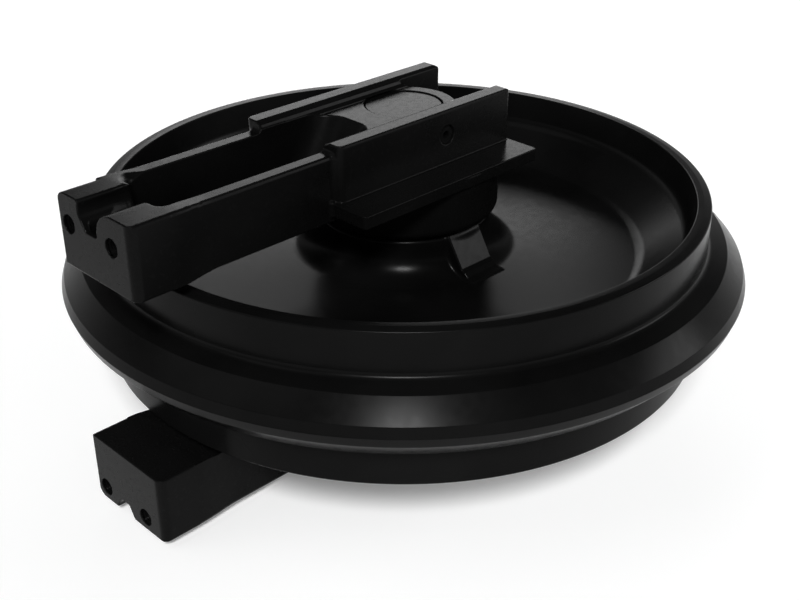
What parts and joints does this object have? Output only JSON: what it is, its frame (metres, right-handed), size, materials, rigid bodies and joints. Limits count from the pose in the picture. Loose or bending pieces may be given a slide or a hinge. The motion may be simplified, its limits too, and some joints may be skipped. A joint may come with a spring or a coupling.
{
  "type": "excavator front idler",
  "caption": "Dished idler wheel with a centre flange, turning on a fixed shaft between two cast channel-arm brackets that slide in a track frame and bolt to the track adjuster.",
  "frame": {"origin": "on the ground under the middle of the outline, with the assembly lying on the lower bracket's rails", "axes": "+Z along the shaft, from the lower bracket to the upper one; +X away from the bracket arms, towards the front of the machine; +Y completes the right-handed frame"},
  "size_m": [0.586, 0.58, 0.277],
  "materials": {
    "black_wheel_paint": "semi-gloss black enamel over turned and forged steel",
    "black_bracket_paint": "semi-gloss black enamel over sand-cast steel, smoother on the machined faces",
    "black_shaft_paint": "black enamel on the turned ends, ground steel inside the hub",
    "pin_steel": "ground steel",
    "bronze": "turned bronze",
    "lapped_iron": "hard iron with lapped running faces",
    "black_rubber": "smooth black rubber"
  },
  "bodies": {
    "support_frame": {"idler_shaft": "black_shaft_paint", "oil_plug": "black_bracket_paint", "upper_bracket": "black_bracket_paint", "upper_thrust_ring": "bronze", "upper_bracket_seal_ring": "lapped_iron", "upper_bracket_seal_rubber": "black_rubber", "upper_shaft_o_ring": "black_rubber", "upper_lock_pin": "pin_steel", "upper_pin_plug": "black_bracket_paint", "lower_bracket": "black_bracket_paint", "lower_thrust_ring": "bronze", "lower_bracket_seal_ring": "lapped_iron", "lower_bracket_seal_rubber": "black_rubber", "lower_shaft_o_ring": "black_rubber", "lower_lock_pin": "pin_steel", "lower_pin_plug": "black_bracket_paint"},
    "wheel": {"idler_wheel": "black_wheel_paint", "upper_bush": "bronze", "upper_hub_seal_ring": "lapped_iron", "upper_hub_seal_rubber": "black_rubber", "lower_bush": "bronze", "lower_hub_seal_ring": "lapped_iron", "lower_hub_seal_rubber": "black_rubber"}
  },
  "joints": [
    {"name": "wheel_spin", "type": "hinge", "parent": "support_frame", "child": "wheel", "pos_m": [0.003, 0, 0.1385], "axis": [0, 0, 1], "continuous": true}
  ]
}
